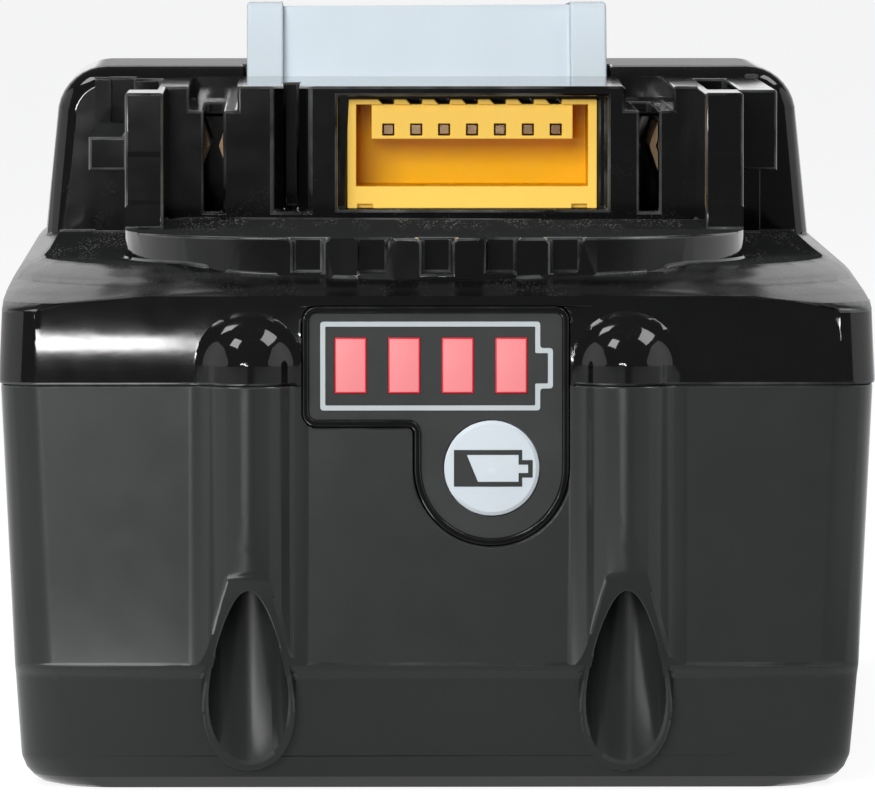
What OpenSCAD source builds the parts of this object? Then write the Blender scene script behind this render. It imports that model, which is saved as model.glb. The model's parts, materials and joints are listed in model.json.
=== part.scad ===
// Slide-on battery pack for cordless tools.
// Origin at the middle of the underside, +Z up, gauge end at -Y, release end at +Y.

/* [Cells] */
// Diameter of one cell
cell_d = 18.4; // [17.8:0.1:19]
// Length of one cell
cell_len = 65; // [60:0.5:70]
// Gap between neighbouring cells
cell_gap = 0.6; // [0.4:0.1:1.2]
// Skin of the cell holder outside the cells
holder_skin = 0.7; // [0.5:0.1:1.2]
// Length of each cell end held by its holder
holder_grip = 10; // [6:0.5:14]
// Thickness of the nickel strips
tab_t = 0.2; // [0.15:0.05:0.4]
// Thickness of the insulating sheets beside the strips
insulator_t = 0.5; // [0.3:0.1:0.8]

/* [Case] */
// Room from the cell ends to the outside of the case at the seam
side_room = 5.6; // [5:0.1:8]
// Room from the last cell to the end of the case
end_room = 9.8; // [9.8:0.1:12]
// Wall of both case halves
wall_t = 2; // [1.6:0.1:2.2]
// Height of the seam between the case halves
seam_z = 35.7; // [32:0.1:38]
// How much narrower each side is at the underside
side_draft = 1.7; // [0.5:0.05:1.8]
// Radius of the long lower edges
side_edge_r = 3; // [2:0.1:4]
// Plan radius of the corners above the scoops
corner_r = 3.6; // [3:0.1:6]
// Plan radius of the corners at the underside
foot_corner_r = 5; // [4:0.5:8]
// Set-back of the end walls behind the screw columns
panel_d = 2.6; // [2:0.1:3]
// Height where the end walls step back into the scoops
panel_foot_z = 11.4; // [10:0.1:14]
// Depth of the scoops behind the column noses
scoop_d = 1.2; // [0.8:0.1:1.6]
// Overhang of the upper case past the lower case
brow = 0.2; // [0.1:0.05:0.4]
// Height of the lip that locates the two halves
lip_h = 1.2; // [0.8:0.1:1.6]
// Thickness of that lip
lip_t = 0.9; // [0.7:0.1:1.2]

/* [Screw columns] */
// Radius of a screw column
column_r = 4.1; // [3.9:0.05:4.3]
// Distance of the gauge-end columns from the middle
column_x = 16.4; // [16.4:0.1:20]
// Distance of the release-end columns from the middle
rear_column_x = 24.5; // [22:0.1:28]
// Radius of the channel for the screwdriver
channel_r = 3.45; // [3.2:0.05:3.6]
// Height of the web under which the screw heads sit
head_seat_z = 21; // [18:0.5:24]
// Radius of the nose that cuts the columns back
nose_r = 36; // [30:1:50]
// Height where the nose starts
nose_z = 24.4; // [20:0.1:26]
// Height of the column tops above the seam
dome_h = 5.8; // [5:0.1:6]
// Fillet between a column and the wall
column_fillet = 2.5; // [1.5:0.1:2.8]
// Screw thread diameter
screw_d = 3; // [2.5:0.1:3.2]
// Screw head diameter
screw_head_d = 5.6; // [5:0.1:6]
// Screw head height
screw_head_h = 2.2; // [1.8:0.1:2.6]
// Screw length under the head
screw_len = 19; // [17:0.5:19]

/* [Shoulder and platform] */
// Radius of the long upper edges
edge_r = 3.6; // [2.5:0.1:3.8]
// Length of the slope from the end wall up to the shoulder
slope_l = 5.9; // [4:0.1:7]
// Height of the step at the top of that slope
step_h = 0.6; // [0.4:0.1:1]
// Plan radius of the front corners above the slope
plateau_r = 24; // [16:0.5:28]
// Draft of the upper case from the seam to its round edges
cover_draft = 0.3; // [0:0.05:0.4]
// Half width of the platform and of the rails under the flanges
rail_hw = 27.4; // [26.5:0.1:28.5]
// Height of the platform above the shoulder
platform_h = 2.5; // [2:0.1:3]
// Distance of the platform's front from the gauge end
platform_d = 5.7; // [5:0.1:8]
// Radius of the platform's bowed front
bow_r = 57; // [45:1:80]
// Half width of that bow
bow_hw = 14; // [14:0.5:17]
// Vent slots in the front of the platform
vent_count = 5; // [3:2:5]
// Width of a vent slot
vent_w = 2.6; // [2:0.1:3.2]
// Spacing of the vent slots
vent_pitch = 5.6; // [5.2:0.1:6]
// Depth of a vent slot
vent_d = 2.6; // [1.5:0.1:3]
// Chamfer along the top of a vent slot
vent_lead = 0.4; // [0.2:0.05:0.6]

/* [Rails] */
// Thickness of a rail wall
rail_t = 3.4; // [3:0.1:3.6]
// Distance of the rail fronts from the gauge end
post_d = 24; // [23:0.5:30]
// Distance of the flange fronts from the gauge end
flange_d = 34; // [32:0.5:40]
// Reach of the flanges past the rail walls
flange_w = 3.4; // [3:0.1:4]
// Clear height of the guide grooves
groove_h = 7.4; // [6.5:0.1:8]
// Height of the flanges
flange_h = 7.2; // [7.2:0.1:9]
// Height of the left flange in its keyed length
key_h = 3; // [2:0.1:4]
// Length of the pillars that close the grooves
pillar_l = 3; // [2:0.1:5]
// Reach of the pillars past the flanges
pillar_w = 0.3; // [0.1:0.1:0.8]
// Distance of the cored pocket in each rail top from the flange front
core_d0 = 1; // [0.8:0.1:4]
// Wall between that pocket and the inside of the rail
core_wall = 0.8; // [0.7:0.1:1.2]
// Width of the pocket
core_w = 2.8; // [2:0.1:3]
// Length of the pocket
core_l = 37; // [20:1:38]
// Depth of the pocket
core_d = 5; // [3:0.1:6]

/* [Terminal block] */
// Distance of the block's face from the gauge end
block_d = 46; // [44:0.5:50]
// Distance of the power slots from the middle
slot_x = 19.75; // [19.5:0.05:20]
// Width of a power slot
slot_w = 1.77; // [1.5:0.01:2]
// Width of the channel over a power slot
channel_w = 4.35; // [4:0.05:4.6]
// Depth of that channel
channel_d = 2.2; // [1.8:0.1:2.4]
// Height of the slot foot above the platform
slot_foot = 0.7; // [0.4:0.1:2]
// Length of the pocket that holds a power terminal
pocket_l = 27; // [22:0.5:27]
// Width of that pocket
pocket_w = 5.9; // [5.4:0.1:6]
// Place of the guide slot across the pack
guide_x = -12.7; // [-13:0.05:-12.4]
// Width of the guide slot
guide_w = 1.42; // [1.2:0.01:1.8]
// Width of its flared mouth
guide_mouth_w = 3.35; // [2.8:0.05:3.6]
// Length of the flare
guide_flare = 1.6; // [1:0.1:2.5]
// Length of the guide slot
guide_l = 14; // [8:0.5:20]

/* [Connector] */
// Middle of the connector across the pack
plug_x = 3.75; // [3:0.05:4.2]
// Width of the connector
plug_w = 22.7; // [22:0.1:23.5]
// Height of the connector
plug_h = 9.9; // [9.4:0.1:10.2]
// Length of the connector
plug_l = 9; // [8:0.1:10]
// Set-back of the connector behind the block's face
plug_d = 3; // [2.5:0.1:4]
// Wall of the connector
plug_wall = 0.8; // [0.6:0.05:1.2]
// Thickness of the connector's floor
plug_floor = 2; // [1.5:0.1:2.2]
// Height of the contact bar
bar_h = 3.6; // [3.2:0.1:3.8]
// Gap between the contact bar and the side walls
bar_gap = 1.4; // [0.8:0.1:1.6]
// Width of the slots along the top of the bar, at their floor
bar_slot_w = 1.05; // [0.8:0.05:1.2]
// Depth of those slots
bar_slot_h = 0.45; // [0.4:0.05:0.6]
// Lean of one side of those slots
bar_slot_lead = 0.4; // [0.2:0.05:0.5]
// Spacing of the contacts
contact_pitch = 2.54; // [2.3:0.01:2.6]
// Size of a contact hole
contact_hole = 1.1; // [1:0.05:1.2]
// Size of a contact
contact_w = 0.8; // [0.6:0.05:0.9]
// Height of the holes above the foot of the bar
contact_rise = 0.85; // [0.75:0.05:1.6]
// Room between the connector and the sides of its window
window_gap = 0.9; // [0.6:0.1:1]

/* [Raised block] */
// Distance of its front wall from the gauge end
wall_d = 80; // [78:0.5:84]
// Half width at its foot
hump_hw = 35.9; // [35:0.1:36.2]
// Lean of each side over its height
hump_lean = 1.2; // [0.5:0.1:1.5]
// Height above the rail tops
hump_h = 1; // [0.8:0.1:2]
// Radius of its long upper edges
hump_r = 4.7; // [3:0.1:5.5]
// Radius of its front upper edge
hump_front_r = 1.8; // [1:0.1:2]
// Radius of its rear upper edge
hump_rear_r = 3; // [2:0.1:4]

/* [Latch] */
// Half width of the latch
latch_hw = 16.9; // [15:0.05:17.5]
// Height of the hook above the raised block
hook_h = 5.9; // [5:0.1:6.5]
// Thickness of the hook at its foot
hook_t = 6; // [5:0.1:7]
// Lean of the hook's face
hook_lean = 2.2; // [1:0.1:3]
// Width of the posts at the ends of the hook
hook_post_w = 3.4; // [2.5:0.1:4.5]
// Depth of the panel between the posts
hook_panel_d = 1.2; // [0.8:0.1:1.6]
// Travel of the latch
latch_travel = 5.5; // [4:0.1:5.8]
// Thickness of the latch's web
web_t = 2.5; // [2:0.1:3]
// Height of the web above the board
web_rise = 10.4; // [10:0.1:10.8]
// Half width of the thumb pad
pad_hw = 14.5; // [10:0.1:15]
// Height of the thumb pad
pad_h = 14; // [12:0.1:14.5]
// Thickness of the thumb pad
pad_t = 4; // [3:0.1:4.5]
// Ribs on the thumb pad
pad_ribs = 4; // [2:1:5]
// Length of the base plate under the springs
latch_base_l = 8; // [7:0.5:10]
// Distance of the springs from the rear edge of that plate
spring_inset = 3; // [3:0.1:4]
// Thickness of the base plate
latch_base_t = 1.5; // [1:0.1:1.7]
// Spring wire diameter
spring_wire = 0.7; // [0.5:0.05:0.8]
// Spring outer diameter
spring_d = 6; // [5:0.1:7]
// Turns of a spring
spring_turns = 5; // [4:1:6]
// Distance of the springs from the middle
spring_x = 9.5; // [7:0.1:12]

/* [Gauge] */
// Left edge of the gauge panel
gauge_left = -11.1; // [-11.1:0.1:-10.5]
// Right edge of the gauge panel
gauge_right = 10.8; // [10:0.1:11]
// Top of the gauge panel above the seam
gauge_top = 6.2; // [6:0.1:6.8]
// Foot of the wide part of the panel under the seam
gauge_foot = 3; // [2:0.1:3.5]
// Radius of the corners of the gauge panel
gauge_corner_r = 0.6; // [0.3:0.1:1]
// Radius in the notch between the panel and its lobe
gauge_notch_r = 1.2; // [0.8:0.1:1.4]
// Radius of the lobe round the button
lobe_r = 6.1; // [5.6:0.1:6.3]
// Height of the button's middle under the seam
button_drop = 7.2; // [6.8:0.1:8]
// Diameter of the check button
button_d = 8.24; // [7:0.02:8.6]
// Travel of the check button
button_travel = 0.3; // [0.2:0.05:0.4]
// Width of the bezel's rim
rim_w = 0.6; // [0.4:0.05:0.6]
// Width of the flange behind the case wall
bezel_flange = 0.5; // [0.3:0.05:0.6]
// Thickness of the bezel behind the overlay
bezel_t = 2; // [1.8:0.05:2.2]
// Thickness of the flange behind the bezel
bezel_flange_t = 0.75; // [0.6:0.05:0.8]
// Depth of the overlay behind the rim
rim_d = 0.3; // [0.1:0.05:0.5]
// Thickness of the overlay
overlay_t = 0.3; // [0.2:0.05:0.5]
// Width of a window
lens_w = 2.73; // [2:0.01:3]
// Height of a window
lens_h = 4.8; // [4:0.1:5.4]
// Spacing of the windows
lens_pitch = 4.64; // [4:0.01:4.8]
// Middle of the row of windows
lens_x = -0.57; // [-0.8:0.01:-0.3]
// Height of the windows' middle above the seam
lens_rise = 1.7; // [1.6:0.1:2.2]

/* [Boards] */
// Thickness of the main board
board_t = 1.6; // [1:0.1:2]
// Room between the main board and the shoulder
board_clear = 0.6; // [0.4:0.1:1.2]
// Distance of the main board's front edge from the gauge end
board_d = 17; // [15:0.5:20]
// Length of the main board
board_l = 76; // [70:0.5:76]
// Least gap between the main board and the latch base
board_gap = 1; // [0.5:0.1:3]
// Width of the strip tongues at the main board
tongue_w = 4; // [3:0.1:5]
// Width of the control chip
chip_w = 8; // [6:0.5:10]
// Height of the control chip
chip_t = 1; // [0.8:0.1:1.2]
// Distance of the chips behind the main board's front edge
chip_d = 12; // [8:0.5:14]
// Distance of the power switches from the middle
power_switch_x = 12; // [10:0.5:14]
// Width of the flat cable
ribbon_w = 8; // [5:0.5:10]
// Thickness of the flat cable
ribbon_t = 0.3; // [0.2:0.05:0.4]
// Length of the flat cable's ends on the boards
ribbon_end = 4; // [3:0.5:6]
// Thickness of the gauge board
gauge_board_t = 1.2; // [0.8:0.1:1.4]
// Thickness of the sheet in a power terminal
clip_t = 0.6; // [0.4:0.05:0.8]
// Length of a power terminal
clip_l = 14; // [10:0.5:18]
// Width of a power terminal
clip_w = 4.8; // [4:0.1:5.2]
// Distance of a power terminal behind the block's face
clip_d = 12; // [8:0.5:15]

/* [Clearances] */
// Clearance of parts that are set into each other
fit = 0.1; // [0.05:0.01:0.12]
// Clearance of parts that slide past each other
run = 0.35; // [0.3:0.05:0.4]

/* [Hidden] */
$fn = 48;
series = 5;
layers = 2;
contacts = 7;
lenses = 4;
corner_steps = 8;
// Overlap of shapes that are one moulding
join = 0.5;
// Reach of a cutter past the face that it opens
over = 1;

cell_r = cell_d / 2;
cell_pitch = cell_d + cell_gap;
row_half = (series - 1) / 2 * cell_pitch + cell_r;
body_w = cell_len + 2 * side_room;
// The case holds the cells, or the board and the latch base where those need more
body_l = 2 * max(row_half + end_room, board_d + board_l + board_gap + latch_base_l - row_half);
bottom_layer_z = wall_t + holder_skin + fit + cell_r;
top_layer_z = bottom_layer_z + (layers - 1) * cell_pitch;
holder_top_z = top_layer_z + cell_r + fit + holder_skin;
holder_end = row_half + fit + holder_skin;
board_top_z = holder_top_z + board_t;
ceiling_z = board_top_z + board_clear;
slope_top_z = ceiling_z + wall_t;
floor_z = slope_top_z + step_h;
platform_z = floor_z + platform_h;
flange_z = floor_z + groove_h;
deck_z = flange_z + flange_h;
hump_z = deck_z + hump_h;
hook_z = hump_z + hook_h;
upper_panel_d = panel_d - brow;
column_d = column_r;
rail_in = rail_hw - rail_t;
flange_hw = rail_hw + flange_w;
lane_hw = latch_hw + run;
hook_d = wall_d + run;
web_z = board_top_z + web_rise;
seat_z = holder_top_z + latch_base_t;
pad_top_z = web_z + web_t + 3;
pad_z = pad_top_z - pad_h;
rear_wall_d = body_l - upper_panel_d;
pad_out_d = rear_wall_d + 0.8;
latch_base_y = [row_half - latch_base_l, row_half];
spring_y = row_half - spring_inset;
board_y = [board_d - body_l / 2, board_d + board_l - body_l / 2];
button_x = gauge_right - lobe_r;
button_z = seam_z - button_drop;
gauge_z = [seam_z - gauge_foot, seam_z + gauge_top];
bezel_front_d = upper_panel_d;
overlay_d = bezel_front_d + rim_d;
bezel_back_d = overlay_d + overlay_t + bezel_t;
flange_back_d = bezel_back_d + bezel_flange_t;
gauge_board_back_d = min(body_l / 2 - holder_end - 0.6, board_d - 2 * ribbon_t);
gauge_board_d = gauge_board_back_d - gauge_board_t;
plug_z = platform_z + 0.9;
bar_z = plug_z + plug_h - bar_h;
contact_z = bar_z + contact_rise;
plug_front_d = block_d + plug_d;
pocket_d = block_d + 3;
pocket_end_d = max(pocket_d + pocket_l, block_d + clip_d + clip_l + run);
led_t = 0.7;
led_front_d = gauge_board_d - led_t;
switch_body_t = 0.9;
switch_front_d = gauge_board_d - switch_body_t;
stem_d = switch_front_d - button_travel - 0.1;
plunger_r = 1;
// Columns of cells that each strip joins, first and last, on the left and on the right
tab_columns = [[[1, 1], [2, 3], [4, 5]], [[1, 2], [3, 4], [5, 5]]];

// Y of a depth measured from the gauge end
function at(d) = d - body_l / 2;

// How far the column noses fall back at a height
function nose(z) = z >= nose_z ? 0 : nose_r - sqrt(nose_r * nose_r - (nose_z - z) * (nose_z - z));

// Fall-back of a round edge of radius r at a height h above the start of the round
function round_off(h, r) = h <= 0 ? 0 : r - sqrt(max(0, r * r - h * h));

// Points of an arc about c, from angle a to angle b
function arc(c, r, a, b, n) = [for (i = [0:n]) c + r * [cos(a + (b - a) * i / n), sin(a + (b - a) * i / n)]];

// Rounded rectangle, half width x, from y0 to y1, with corner radius r at y0 and rear_r at y1
function slab(x, y0, y1, r, rear_r) = concat(
    arc([x - r, y0 + r], r, 270, 360, corner_steps),
    arc([x - rear_r, y1 - rear_r], rear_r, 0, 90, corner_steps),
    arc([rear_r - x, y1 - rear_r], rear_r, 90, 180, corner_steps),
    arc([r - x, y0 + r], r, 180, 270, corner_steps)
);

// Half of a column's front, about its axis, running out in a fillet on a wall at y = wall
function column_front(wall) = let (
    c = [sqrt(pow(column_r + column_fillet, 2) - pow(wall - column_fillet, 2)), wall - column_fillet],
    a = atan2(c[1], c[0])
) concat(arc([0, 0], column_r, -90, a, 6), [for (i = [1:6]) c + column_fillet * [
    cos(180 + a - (90 + a) * i / 6), sin(180 + a - (90 + a) * i / 6)]]);

function mirrored(points) = [for (i = [len(points) - 1:-1:0]) [-points[i][0], points[i][1]]];

function lift(points, z) = [for (p = points) [p[0], p[1], z]];

// Half width, end set-back and corner radius of the lower case at a height
function tub_hw(z) = body_w / 2 - brow - side_draft * (1 - z / seam_z)
    - round_off(side_edge_r - z, side_edge_r);
function tub_d(z) = z >= panel_foot_z ? panel_d
    : max(panel_d, min(nose(z) + scoop_d, panel_d + 1.2 * pow(panel_foot_z - z, 1.5)));
function tub_r(z) = corner_r + max(0, (foot_corner_r - corner_r) * (1 - z / panel_foot_z));
function tub_ring(z, t, rise = 0) = lift(
    slab(tub_hw(z) - t, at(tub_d(z) + t), -at(tub_d(z) + t), tub_r(z) - t, tub_r(z) - t), z + rise);

// Outline of the upper case at a height
function cover_share(z) = min(1, max(0, z - floor_z + edge_r) / (edge_r - step_h));
function cover_hw(z) = body_w / 2 - cover_draft * min(1, (z - seam_z) / (floor_z - edge_r - seam_z))
    - round_off(z - floor_z + edge_r, edge_r) * (1 - cover_draft / edge_r);
function cover_d(z) = upper_panel_d + slope_l * pow(cover_share(z), 3) + max(0, z - slope_top_z) * 0.7;
function cover_r(z) = corner_r + (plateau_r - corner_r) * min(1, pow(cover_share(z) / 0.6, 2));
function cover_ring(z) = lift(slab(cover_hw(z), at(cover_d(z)), -at(upper_panel_d), cover_r(z),
    corner_r + round_off(z - floor_z + edge_r, edge_r) * 0.8), z);

// Outline of the raised block, drawn in by e at one of its ends
function hump_ring(y, e) = let (
    hw = hump_hw - e,
    top_hw = hump_hw - hump_lean - e,
    z = hump_z - e,
    r = hump_r - min(e, hump_r - 1),
    half = concat([[hw, slope_top_z - join], [top_hw, z - r]],
        arc([top_hw - r, z - r], r, 10, 90, corner_steps))
) concat(
    [for (p = half) [-p[0], y, p[1]]],
    [for (i = [len(half) - 1:-1:0]) [half[i][0], y, half[i][1]]]
);

// Skin through a stack of rings with equal numbers of points
module loft(rings) {
    n = len(rings[0]);
    last = (len(rings) - 1) * n;
    sides = [for (k = [0:len(rings) - 2]) for (i = [0:n - 1])
        let (a = k * n + i, b = k * n + (i + 1) % n)
        each [[a, a + n, b + n], [a, b + n, b]]];
    polyhedron(
        [for (ring = rings) each ring],
        concat(sides, [[for (i = [0:n - 1]) i]], [[for (i = [n - 1:-1:0]) last + i]])
    );
}

// Box between two corners, given as spans
module span(x, y, z) {
    translate([x[0], y[0], z[0]])
        cube([x[1] - x[0], y[1] - y[0], z[1] - z[0]]);
}

// Profile drawn in X and Z, run from y0 to y1
module along_y(y0, y1) {
    translate([0, y1, 0])
        rotate([90, 0, 0])
            linear_extrude(y1 - y0)
                children();
}

// Profile drawn in Y and Z, run from x0 to x1
module along_x(x0, x1) {
    translate([x0, 0, 0])
        rotate([90, 0, 90])
            linear_extrude(x1 - x0)
                children();
}

// Rod along Y
module rod_y(x, z, y0, y1, r) {
    translate([x, y1, z])
        rotate([90, 0, 0])
            cylinder(h = y1 - y0, r = r);
}

// Rod along X, centred, half length hl
module rod_x(y, z, hl, r) {
    translate([-hl, y, z])
        rotate([0, 90, 0])
            cylinder(h = 2 * hl, r = r);
}

// Copies at the four screw columns
module at_columns() {
    for (sx = [-1, 1]) {
        translate([sx * column_x, at(column_d), 0])
            children();
        translate([sx * rear_column_x, -at(column_d), 0])
            rotate(180)
                children();
    }
}

// Screw column of the lower case, cut back by its round nose
module column() {
    wall = panel_d - column_d;
    front = column_front(wall);
    edge = front[len(front) - 1];
    back = arc([0, 0], column_r, 0, 180, 12);
    difference() {
        union() {
            translate([0, 0, panel_foot_z])
                linear_extrude(seam_z - panel_foot_z)
                    polygon(concat(front, [edge + [0, join], [column_r, wall + join]], back,
                        [[-column_r, wall + join], [-edge[0], wall + join]], mirrored(front)));
            translate([0, 0, 0.3])
                linear_extrude(panel_foot_z - 0.3)
                    polygon(concat([for (i = [0:6]) front[i]], back,
                        [for (i = [6:-1:1]) [-front[i][0], front[i][1]]]));
        }
        difference() {
            span([-column_r - over, column_r + over], [-column_d - over, body_l / 4], [-over, nose_z]);
            translate([-column_r - 2 * over, nose_r - column_d + 0.05, nose_z])
                rotate([0, 90, 0])
                    cylinder(h = 2 * column_r + 4 * over, r = nose_r, $fn = 96);
        }
    }
}

// Outline of the gauge panel in X and Z, grown by g
module gauge_outline(g) {
    r = gauge_corner_r + g;
    notch = max(0.1, gauge_notch_r - g);
    translate([(gauge_left + gauge_right) / 2, 0])
        polygon(slab((gauge_right - gauge_left) / 2 + g, gauge_z[0] - g, gauge_z[1] + g, r, r));
    translate([button_x - lobe_r - g, button_z])
        square([2 * (lobe_r + g), gauge_z[0] - button_z + 2]);
    translate([button_x, button_z])
        circle(r = lobe_r + g);
    translate([button_x - lobe_r - g - notch, gauge_z[0] - g - notch])
        difference() {
            square(notch + join);
            circle(r = notch);
        }
}

// Place of a window across the pack
function lens_place(i) = lens_x + (i - (lenses + 1) / 2) * lens_pitch;

// Copies at the four windows, in place across and up
module at_lenses() {
    for (i = [1:lenses])
        translate([lens_place(i), 0, seam_z + lens_rise])
            children();
}

// Outline of the platform in plan, drawn in by t
module platform_outline(t, d_end) {
    hw = rail_hw - t;
    a = asin(bow_hw / bow_r);
    r = (hw - bow_hw) / (1 - sin(a));
    y0 = at(platform_d + t);
    corner_y = y0 + bow_r * (1 - cos(a)) + r * cos(a);
    half = concat(
        arc([0, y0 + bow_r], bow_r, 270, 270 + a, 4),
        arc([bow_hw - r * sin(a), corner_y], r, 270 + a, 360, 14),
        [[hw, at(d_end)]]
    );
    polygon(concat(half, [for (i = [len(half) - 1:-1:1]) [-half[i][0], half[i][1]]]));
}

module lower_case() {
    foot_heights = [for (f = [0, 0.1, 0.27, 0.53, 0.87]) f * side_edge_r];
    scoop_heights = [for (f = [0, 0.4, 0.7]) side_edge_r + f * (panel_foot_z - 1.4 - side_edge_r)];
    panel_heights = [for (f = [1.4, 0.8, 0.4, 0]) panel_foot_z - f];
    heights = concat(foot_heights, scoop_heights, panel_heights, [seam_z]);
    bay = [for (f = [0, 0.1, 0.2, 0.4, 0.65, 1]) wall_t + f * (panel_foot_z - wall_t)];
    lip_hw = body_w / 2 - wall_t - fit;
    lip_y = at(upper_panel_d + wall_t + fit);
    lip_r = corner_r - wall_t;
    color("#3c3e40")
        difference() {
            union() {
                difference() {
                    loft([for (z = heights) tub_ring(z, 0)]);
                    loft(concat([for (z = bay) tub_ring(z, wall_t)], [tub_ring(seam_z, wall_t, over)]));
                }
                difference() {
                    union() {
                        translate([0, 0, seam_z - 2 * lip_h])
                            linear_extrude(3 * lip_h)
                                polygon(slab(lip_hw, lip_y, -lip_y, lip_r, lip_r));
                        translate([0, 0, seam_z - 2 * lip_h])
                            linear_extrude(2 * lip_h)
                                polygon(slab(lip_hw + join, lip_y - join, join - lip_y,
                                    lip_r + join, lip_r + join));
                    }
                    translate([0, 0, seam_z - 3 * lip_h])
                        linear_extrude(5 * lip_h)
                            polygon(slab(lip_hw - lip_t, lip_y + lip_t, -lip_y - lip_t, lip_r, lip_r));
                    at_columns()
                        translate([0, 0, seam_z])
                            cylinder(h = 2 * lip_h, r = column_r + fit);
                }
                at_columns()
                    column();
            }
            at_columns() {
                translate([0, 0, -over])
                    cylinder(h = head_seat_z + over, r = channel_r);
                cylinder(h = seam_z + over, r = screw_d / 2 + fit);
            }
            along_y(at(-over), at(panel_d + wall_t + over))
                gauge_outline(rim_w + fit);
            along_y(at(panel_d + wall_t), at(panel_d + wall_t + lip_t + over))
                gauge_outline(rim_w + bezel_flange + 2 * fit);
        }
}

// Solid outside of the upper case, before it is hollowed
module cover_body() {
    slope = [for (f = [1, 0.8, 0.6, 0.4, 0.25, 0.12, 0]) slope_top_z - f * (edge_r - step_h)];
    heights = concat([seam_z], slope, [floor_z]);
    loft([for (z = heights) cover_ring(z)]);
    translate([0, 0, slope_top_z - join])
        linear_extrude(platform_z - slope_top_z + join)
            platform_outline(0, wall_d + join);
    for (s = [-1, 1])
        mirror([s < 0 ? 1 : 0, 0, 0]) {
            along_x(rail_in, rail_hw)
                polygon([
                    [at(post_d), platform_z - join], [at(wall_d + join), platform_z - join],
                    [at(wall_d + join), deck_z], [at(post_d + 0.5), deck_z], [at(post_d + 0.5), flange_z + 2],
                    [at(post_d + 0.2), flange_z + 1.5], [at(post_d + 0.2), platform_z + 2.6],
                    [at(post_d), platform_z + 2.2]
                ]);
            span([rail_hw - join, flange_hw], [at(flange_d), at(wall_d + join)],
                [flange_z, s < 0 ? flange_z + key_h : deck_z]);
            span([rail_hw - join, flange_hw + pillar_w], [at(wall_d - pillar_l), at(wall_d + join)],
                [floor_z - join, deck_z]);
        }
    span([-rail_in - join, rail_in + join], [at(block_d), at(wall_d + join)], [platform_z - join, deck_z]);
    rear_y = at(rear_wall_d);
    fronts = [for (a = [0:22.5:90])
        hump_ring(at(wall_d) + hump_front_r * (1 - sin(a)), hump_front_r * (1 - cos(a)))];
    backs = [for (a = [0:18:90])
        hump_ring(rear_y - hump_rear_r * (1 - sin(a)), hump_rear_r * (1 - cos(a)))];
    loft(concat([for (i = [len(fronts) - 1:-1:0]) fronts[i]], backs));
    wall = upper_panel_d - column_d;
    front = column_front(wall);
    edge = front[len(front) - 1];
    at_columns() {
        translate([0, 0, seam_z])
            linear_extrude(dome_h - column_r)
                polygon(concat(front, [edge + [0, join], [-edge[0], wall + join]], mirrored(front)));
        translate([0, 0, seam_z + dome_h - column_r])
            rotate([-90, 0, 0])
                rotate_extrude(angle = -180)
                    polygon(concat(front, [edge + [0, join], [0, wall + join]]));
    }
}

// Spaces for the two power terminals, with their slots and channels
module terminal_cuts() {
    for (s = [-1, 1])
        translate([s * slot_x, 0, 0]) {
            span([-channel_w / 2, channel_w / 2], [at(block_d - over), at(wall_d)],
                [deck_z - channel_d, deck_z + over]);
            span([-slot_w / 2, slot_w / 2], [at(block_d - over), at(wall_d - 6)],
                [platform_z + slot_foot, deck_z]);
            span([-pocket_w / 2, pocket_w / 2], [at(pocket_d), at(pocket_end_d)],
                [ceiling_z - join, deck_z - channel_d - 1.2]);
        }
}

// Guide slot with its flared mouth
module guide_cut() {
    translate([guide_x, 0, platform_z + slot_foot])
        linear_extrude(deck_z - platform_z)
            polygon([
                [-guide_mouth_w / 2, at(block_d - over)], [guide_mouth_w / 2, at(block_d - over)],
                [guide_mouth_w / 2, at(block_d)], [guide_w / 2, at(block_d + guide_flare)],
                [guide_w / 2, at(block_d + guide_l)], [-guide_w / 2, at(block_d + guide_l)],
                [-guide_w / 2, at(block_d + guide_flare)], [-guide_mouth_w / 2, at(block_d)]
            ]);
}

// Window and pocket for the signal connector, with the hollow behind it
module connector_cuts() {
    window = plug_w / 2 + window_gap;
    plug_top_z = plug_z + plug_h;
    translate([plug_x, 0, 0]) {
        span([-window, window], [at(block_d - over), at(plug_front_d)], [plug_z, plug_top_z + 0.4]);
        span([-plug_w / 2 - fit, plug_w / 2 + fit],
            [at(plug_front_d - join), at(plug_front_d + plug_l + fit)], [ceiling_z - join, plug_top_z + fit]);
        span([-plug_w / 2 + 1, plug_w / 2 - 1], [at(plug_front_d + plug_l - join), at(wall_d - 4)],
            [ceiling_z - join, deck_z - wall_t]);
    }
}

// Lane of the latch: chamber, slot for the hook and window for the thumb pad
module latch_cuts() {
    window_hw = pad_hw + run;
    window_z = pad_z - latch_travel - run;
    span([-lane_hw, lane_hw], [at(wall_d), at(rear_wall_d - wall_t)], [ceiling_z - join, hump_z - wall_t]);
    span([-lane_hw, lane_hw], [at(wall_d), at(hook_d + hook_t + run)], [deck_z - over, hump_z + over]);
    span([-lane_hw, lane_hw], [at(wall_d - join), at(wall_d + join)], [deck_z, hump_z + over]);
    span([-window_hw, window_hw], [at(rear_wall_d - wall_t - over), at(body_l)], [window_z, pad_top_z + run]);
    for (s = [-1, 1])
        mirror([s < 0 ? 1 : 0, 0, 0])
            span([lane_hw + wall_t, hump_hw - hump_lean - wall_t - 1.4],
                [at(wall_d + wall_t), at(rear_wall_d - wall_t)], [ceiling_z - join, hump_z - wall_t]);
}

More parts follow.
